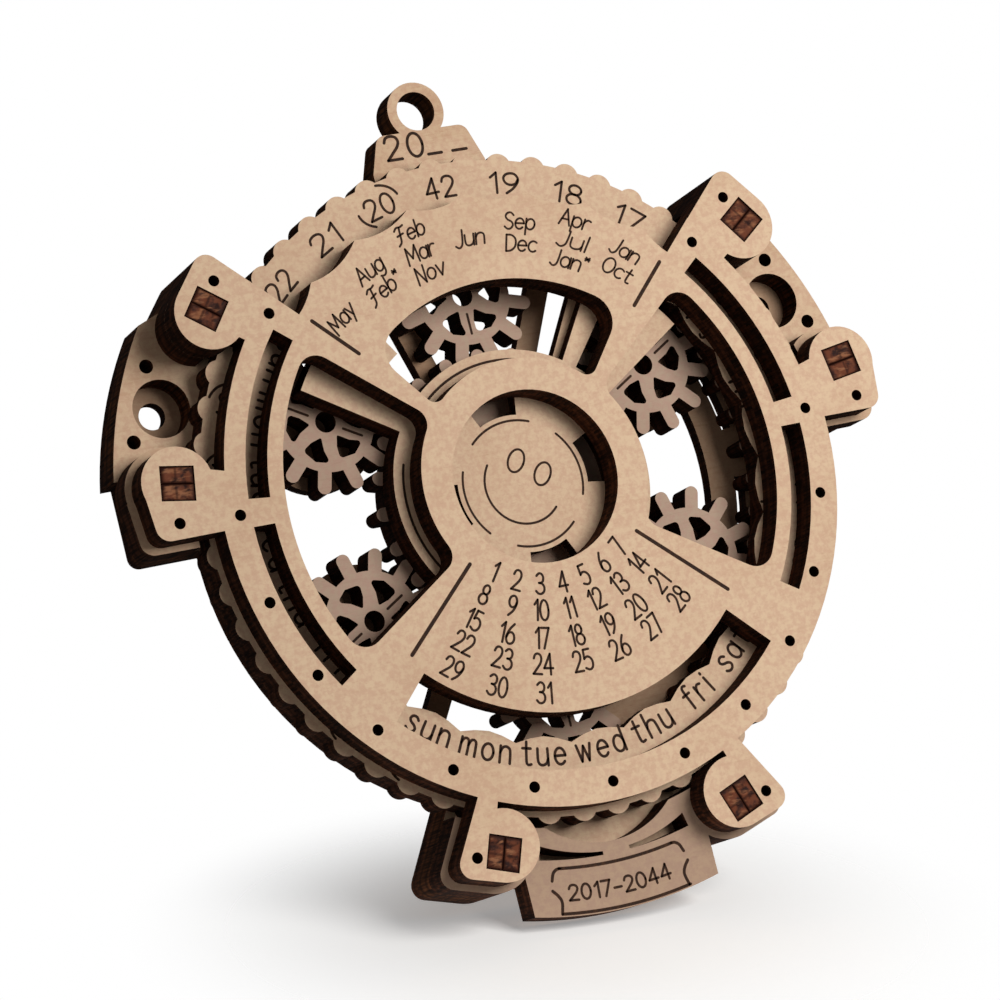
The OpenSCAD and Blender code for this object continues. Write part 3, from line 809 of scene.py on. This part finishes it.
@dataclass
class YearRing:
    """Years and weekdays on the calendar ring."""

    year_hand: Hand = Hand(height=3.75, width=4.1, gap=0.95, line=0.52)
    week_hand: Hand = Hand(height=4.4, width=3.9, gap=1.25, line=0.56)
    years: tuple[int, ...] = (17, 18, 19, 42, 20, 21, 22, 23, 40, 24, 25, 26, 27, 44, 28, 29, 30, 31, 43, 32,
                              33, 34, 35, 41, 36, 37, 38, 39)
    weekdays: tuple[str, ...] = ("sun", "mon", "tue", "wed", "thu", "fri", "sat")
    year_width: float = 5.6
    leap_arcs: tuple[tuple[float, ...], ...] = ((4.3, 3.8, 15, 75), (4.4, 3.6, 178, 236))
    first_year: float = 4.0 * MONTH_STEP - 0.6
    first_weekday: float = -90.0 - 3.0 * MONTH_STEP
    turn: float = 2.3
    year_r: float = 55.1
    week_r: float = 48.0

    def dress(self, burn: bpy.types.Material) -> None:
        """Draws the years outward and the weekdays inward, with a broken oval round each leap year.

        Args:
            burn: the engraving's finish.
        """
        made = Engraving("ring_lettering", Face.RING, "calendar")
        for place, year in enumerate(self.years):
            angle = self.first_year + MONTH_STEP * place + self.turn
            made.draw(round_dial(self.year_hand.write(str(year), self.year_width), self.year_r, angle,
                                 Facing.OUTWARD), self.year_hand.line)
            if year % 4 == 0:
                oval = [stroke for shape in self.leap_arcs for stroke in arc(0, 0, *shape)]
                made.draw(round_dial(oval, self.year_r, angle, Facing.OUTWARD), self.year_hand.line)
        for place in range(PLACES):
            word = self.week_hand.write(self.weekdays[place % WEEK])
            made.draw(round_dial(word, self.week_r, self.first_weekday + MONTH_STEP * place + self.turn,
                                 Facing.INWARD), self.week_hand.line)
        made.finish(burn)


@dataclass
class Hub:
    """Smiling face and arcs on the notched disc, and arcs on the spider's hub ring."""

    arc_r: float = 11.4
    arc_start: float = -20.0
    arc_sweep: float = 62.0
    face_up: float = 54.0
    eye: tuple[float, float] = (1.45, 2.2)
    eye_place: tuple[float, float] = (2.7, 3.2)
    mouth_r: float = 7.3
    spider_r: float = 22.5
    spider_turn: float = 9.5
    spider_half: float = 28.0
    spider_line: float = 0.5
    line: float = 0.46

    def dress(self, burn: bpy.types.Material) -> None:
        """Builds both engravings.

        Args:
            burn: the engraving's finish.
        """
        disc = Engraving("face_engraving", Face.RING, "sun")
        for quarter in range(4):
            start = self.arc_start + 90.0 * quarter
            disc.draw(arc(0, 0, self.arc_r, self.arc_r, start, start + self.arc_sweep), self.line)
        smile = arc(0, 0, self.mouth_r, self.mouth_r, 180, 350)
        for side in (-1.0, 1.0):
            smile += arc(side * self.eye_place[0], self.eye_place[1], *self.eye)
        disc.draw(beside(smile, 0.0, 0.0, self.face_up - 90.0), self.line)
        disc.finish(burn)
        ring = Engraving("spider_engraving", Face.SPIDER, "frame")
        for quarter in range(4):
            middle = self.spider_turn + 90.0 * quarter
            ring.draw(arc(0, 0, self.spider_r, self.spider_r, middle - self.spider_half,
                          middle + self.spider_half), self.spider_line)
        ring.finish(burn)


@dataclass
class GearTrain:
    """Short lines on two arms of each planet gear."""

    centre_r: float = 36.135
    reach: tuple[float, float] = (3.4, 7.0)
    line: float = 0.5

    def dress(self, burn: bpy.types.Material) -> None:
        """Draws a line along the arms that point at the dial's centre and away from it.

        Args:
            burn: the engraving's finish.
        """
        for number in range(1, 7):
            at = 30.0 + 60.0 * (number - 1)
            made = Engraving(f"planet_{number}_lines", Face.GEAR, f"planet_{number}")
            for way in (-1.0, 1.0):
                made.draw(bars(*(polar(self.centre_r + way * reach, at) for reach in self.reach)), self.line)
            made.finish(burn)


@dataclass
class Plates:
    """Lettering on the hanging tab and on the label."""

    tab_hand: Hand = Hand(height=4.4, width=5.2, gap=1.6, line=0.6)
    label_hand: Hand = Hand(height=2.65, width=2.9, gap=0.62, line=0.5)
    tab_width: float = 7.3
    tab_place: tuple[float, float] = (-3.95, 64.9)
    tab_marks: tuple[tuple[float, float], ...] = ((0.43, 2.99), (5.2, 7.9))
    mark_up: float = 62.8
    label_width: float = 19.6
    label_r: float = 72.6
    label_turn: float = -90.7
    border: float = 0.62
    border_arcs: tuple[tuple[float, ...], ...] = ((68.3, -99.6, -81.2), (76.2, -99.5, -80.8))
    border_middle: float = -90.3
    border_corners: tuple[tuple[tuple[float, float], ...], ...] = (
        ((68.3, 9.2), (68.45, 9.7), (69.1, 10.25), (70.4, 10.5)),
        ((72.2, 10.5), (73.1, 9.7), (74.2, 9.25), (76.2, 9.35)))

    def tab(self) -> Engraving:
        """Writes the century and two marks for the year on the hanging tab.

        Returns:
            The engraving.
        """
        made = Engraving("tab_lettering", Face.TAB, "frame")
        made.draw(beside(self.tab_hand.write("20", self.tab_width), *self.tab_place), self.tab_hand.line)
        for start, end in self.tab_marks:
            made.draw(bars((start, self.mark_up), (end, self.mark_up)), self.tab_hand.line)
        return made

    def label(self) -> Engraving:
        """Writes the range of years on the label, in a border with notched ends.

        Returns:
            The engraving.
        """
        made = Engraving("label_lettering", Face.SPIDER, "frame")
        years = self.label_hand.write("2017-2044", self.label_width)
        made.draw(round_dial(years, self.label_r, self.label_turn, Facing.INWARD), self.label_hand.line)
        for radius, start, end in self.border_arcs:
            made.draw(arc(0, 0, radius, radius, start, end), self.border)
        for side in (-1.0, 1.0):
            for corner in self.border_corners:
                made.draw(curve(*(polar(r, self.border_middle + side * a) for r, a in corner)), self.border)
        return made

    def dress(self, burn: bpy.types.Material) -> None:
        """Builds both plates' engraving.

        Args:
            burn: the engraving's finish.
        """
        self.tab().finish(burn)
        self.label().finish(burn)


@dataclass
class Clips:
    """Rounded ends of the strips in the six square holes, and the pin holes beside them."""

    places: tuple[tuple[float, float], ...] = ((65.1, 36.85), (65.3, 9.0), (67.0, -69.9))
    size: tuple[float, float] = (6.0, 2.95)
    apart: float = 3.0
    front: float = -17.6
    back: float = 2.6
    bulge: float = 0.38
    lobe: float = 6.4
    pin_steps: tuple[tuple[float, float], ...] = ((.12, .81), (.03, -1.08), (.23, .75))

    def pins(self) -> Array:
        """Finds the six ears' own pin holes: each clip's place plus a step in its own axes.

        Returns:
            Their places in dial coordinates, in mm.
        """
        radius, angle = np.array(self.places).T
        out, aside = np.array(self.pin_steps).T * self.lobe
        a = np.radians(angle)
        right = np.stack([(radius + out) * np.cos(a) - aside * np.sin(a),
                          (radius + out) * np.sin(a) + aside * np.cos(a)], 1)
        return np.vstack([right, right * np.array([-1.0, 1.0])])

    def strips(self) -> list[tuple[float, float, float]]:
        """Returns radius, direction and side of each strip."""
        turns = [(r, a) for r, a in self.places] + [(r, 180.0 - a) for r, a in self.places]
        return [(r, a, side) for r, a in turns for side in (-1.0, 1.0)]

    def ends(self, out: float, level: float) -> Grids:
        """Makes a pillow on each strip: its height falls to nothing at the edges, with three soft ridges.

        Args:
            out: -1 for ends that face forward, 1 for ends that face the wall.
            level: where the strips end along Y.

        Returns:
            The pillows as grids.
        """
        grids = Grids()
        line = np.sin(np.linspace(-math.pi / 2, math.pi / 2, 25))
        u, v = np.meshgrid(line, line[::2], indexing="ij")
        dome = np.sqrt(1.0 - u ** 6) * np.sqrt(1.0 - v ** 6)
        dome = dome * (0.86 + 0.14 * np.cos(2.6 * math.pi * u))
        for radius, angle, side in self.strips():
            a = math.radians(angle)
            reach = radius + u * self.size[0] / 2
            aside = side * self.apart / 2 + v * self.size[1] / 2
            points = np.stack([reach * math.cos(a) - aside * math.sin(a), level + out * self.bulge * dome,
                               reach * math.sin(a) + aside * math.cos(a) + CENTRE_UP], -1)
            uv = np.stack([u, v], -1)
            grids.add(points if out < 0 else points[::-1], uv if out < 0 else uv[::-1])
        return grids

    def dress(self, wood: bpy.types.Material) -> None:
        """Builds the front and the rear ends.

        Args:
            wood: the clips' finish.
        """
        for name, out, level in (("clip_fronts", -1.0, self.front), ("clip_backs", 1.0, self.back)):
            made = self.ends(out, level).piece(name, wood, True)
            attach(made, "frame")
            LOG.info("%s on frame", name)


@dataclass(frozen=True)
class Lamp:
    """A soft square lamp: its direction along the camera's right, up and back, in metres and watts."""

    name: str
    way: tuple[float, float, float]
    far: float
    size: float
    power: float
    colour: tuple[float, float, float]


@dataclass
class Studio:
    """Camera, floor, lamps and background."""

    place: tuple[float, float, float] = (-0.275701, -0.636596, -0.160826)
    right: tuple[float, float, float] = (0.902206, -0.356756, -0.242384)
    up: tuple[float, float, float] = (0.175028, -0.210781, 0.961736)
    back: tuple[float, float, float] = (-0.394195, -0.910108, -0.127726)
    lens: float = 140.574
    sensor: float = 36.0
    near: float = 0.05
    floor_tilt: float = 12.0
    floor_gap: float = 0.0004
    floor_r: float = 0.085
    ambient: float = 0.11
    lamps: tuple[Lamp, ...] = (
        Lamp("key", (0.68, 0.42, 0.70), 0.50, 0.26, 2.05, (1.0, 0.985, 0.96)),
        Lamp("fill", (-0.55, 0.10, 0.85), 1.1, 0.8, 0.65, (1.0, 0.90, 0.80)))

    def camera(self) -> None:
        """Sets the camera from its three axes and its place."""
        data = bpy.data.cameras.new("camera")
        data.sensor_width = self.sensor
        data.lens = self.lens
        data.clip_start = self.near
        made = bpy.data.objects.new("camera", data)
        turn = Matrix((self.right, self.up, self.back)).transposed().to_4x4()
        made.matrix_world = Matrix.Translation(self.place) @ turn
        bpy.context.scene.collection.objects.link(made)
        bpy.context.scene.camera = made

    def floor_normal(self) -> Vector:
        """Returns the floor's upward direction, from the camera's own axes."""
        tilt = math.radians(self.floor_tilt)
        return (Vector(self.up) * math.cos(tilt) + Vector(self.back) * math.sin(tilt)).normalized()

    def floor(self, finish: Floor) -> None:
        """Lays a square floor under the lowest point: middle plus u and v along two axes.

        Args:
            finish: the floor's finish.
        """
        n = np.array(self.floor_normal())
        low = [node for name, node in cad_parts.items() if "label" in name or "plate" in name]
        corners = np.concatenate([np.array([v.co for v in node.data.vertices]) for node in low])
        depth = corners @ n
        middle = corners[depth.argmin()] - n * self.floor_gap
        side = np.cross(n, np.array(self.back))
        side /= np.linalg.norm(side)
        ahead = np.cross(n, side)
        uv = np.stack(np.meshgrid(*[np.linspace(-1.0, 1.0, 9)] * 2, indexing="ij"), -1)
        points = middle + self.floor_r * (uv[..., :1] * side + uv[..., 1:] * ahead)
        grids = Grids()
        grids.add(points / MM, uv)
        made = grids.piece("floor", finish.material())

    def light(self, lamp: Lamp) -> None:
        """Adds a lamp that looks at the dial.

        Args:
            lamp: its place, size and light.
        """
        data = bpy.data.lights.new(lamp.name, "AREA")
        data.size = lamp.size
        data.energy = lamp.power
        data.color = lamp.colour
        made = bpy.data.objects.new(lamp.name, data)
        axes = Matrix((self.right, self.up, self.back)).transposed()
        out = (axes @ Vector(lamp.way)).normalized()
        made.location = Vector((0.0, 0.0, CENTRE_UP * MM)) + out * lamp.far
        made.rotation_mode = "QUATERNION"
        made.rotation_quaternion = out.to_track_quat("Z", "Y")
        bpy.context.scene.collection.objects.link(made)

    def world(self) -> None:
        """Makes the background white to the eye and a soft grey light elsewhere."""
        world = bpy.data.worlds.new("studio")
        bpy.context.scene.world = world
        world.use_nodes = True
        tree = world.node_tree
        tree.nodes.clear()
        path = tree.nodes.new("ShaderNodeLightPath")
        mixed = tree.nodes.new("ShaderNodeMixShader")
        tree.links.new(path.outputs["Is Camera Ray"], mixed.inputs[0])
        for socket, strength in ((1, self.ambient), (2, 1.0)):
            light = tree.nodes.new("ShaderNodeBackground")
            light.inputs["Color"].default_value = rgb(1.0, 1.0, 1.0)
            light.inputs["Strength"].default_value = strength
            tree.links.new(light.outputs[0], mixed.inputs[socket])
        out = tree.nodes.new("ShaderNodeOutputWorld")
        tree.links.new(mixed.outputs[0], out.inputs["Surface"])

    def dress(self) -> None:
        """Builds the whole studio."""
        bpy.context.scene.view_settings.view_transform = "Standard"
        self.camera()
        self.floor(Floor("studio_floor"))
        self.world()
        for lamp in self.lamps:
            self.light(lamp)


class Sheet(Enum):
    """Plywood finishes, one for each kind of sheet."""

    DIAL = Plywood("dial_plywood", grain_turn=12.0, seed=1.0)
    RING = Plywood("ring_plywood", grain_turn=65.0, seed=2.0)
    HUB = Plywood("hub_plywood", grain_turn=-30.0, seed=3.0)
    WING = Plywood("wing_plywood", shade=rgb(0.400, 0.190, 0.075), brown=rgb(0.170, 0.060, 0.022),
                   grain_turn=40.0, seed=4.0, soot=0.05)
    # Label: colours darker than the dial's, as painted shade over the label below the dial's rim.
    LABEL = Plywood("label_plywood_painted_shade", rgb(0.455, 0.310, 0.213), rgb(0.420, 0.276, 0.200),
                    rgb(0.330, 0.200, 0.130), grain_turn=80.0, seed=5.0)
    # Gears: colours darker than the dial's, as painted shade of the cavities that they turn in.
    GEAR = Plywood("gear_plywood", rgb(0.520, 0.376, 0.278), rgb(0.520, 0.342, 0.263),
                   rgb(0.360, 0.220, 0.150), grain_turn=20.0, seed=6.0)
    INNER = Plywood("inner_plywood", grain_turn=50.0, seed=7.0, soot=0.3)
    # Back plate: darker than the other sheets, as painted shade, since it lies deep behind the gears and
    # windows.
    BACK = Plywood("back_plywood_painted_shade", shade=rgb(0.360, 0.200, 0.115), grain_turn=30.0, seed=8.0, soot=0.6)


SHEETS: dict[str, Sheet] = {
    "front_plate": Sheet.DIAL, "calendar_ring": Sheet.RING, "face_disc": Sheet.HUB,
    "spider_front": Sheet.HUB, "frame_front": Sheet.WING, "frame_rear": Sheet.WING,
    "back_plate": Sheet.BACK, "label_front": Sheet.LABEL,
}


def dress_nodes(clip_wood: bpy.types.Material) -> None:
    """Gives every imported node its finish.

    Args:
        clip_wood: the finish of the clips.
    """
    finishes = {sheet: sheet.value.material() for sheet in Sheet}
    for name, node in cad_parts.items():
        turning = name.startswith(("planet", "sun", "ring_gear"))
        sheet = SHEETS.get(name, Sheet.GEAR if turning else Sheet.INNER)
        node.data.materials.clear()
        node.data.materials.append(clip_wood if name == "clips" else finishes[sheet])
        LOG.info("%s dressed", name)


def main() -> None:
    """Builds the calendar's dressing in order."""
    logging.basicConfig(level=logging.INFO, format="%(name)s %(message)s")
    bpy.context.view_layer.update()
    burn = Burn("engraved_burn").material()
    clip_wood = ClipWood("clip_wood").material()
    dress_nodes(clip_wood)
    clips = Clips()
    Dial().dress(burn, clips.pins())
    YearRing().dress(burn)
    Hub().dress(burn)
    GearTrain().dress(burn)
    Plates().dress(burn)
    clips.dress(ClipWood("clip_ends", True).material())
    Studio().dress()
    bpy.context.view_layer.update()


if __name__ == "__main__":
    main()
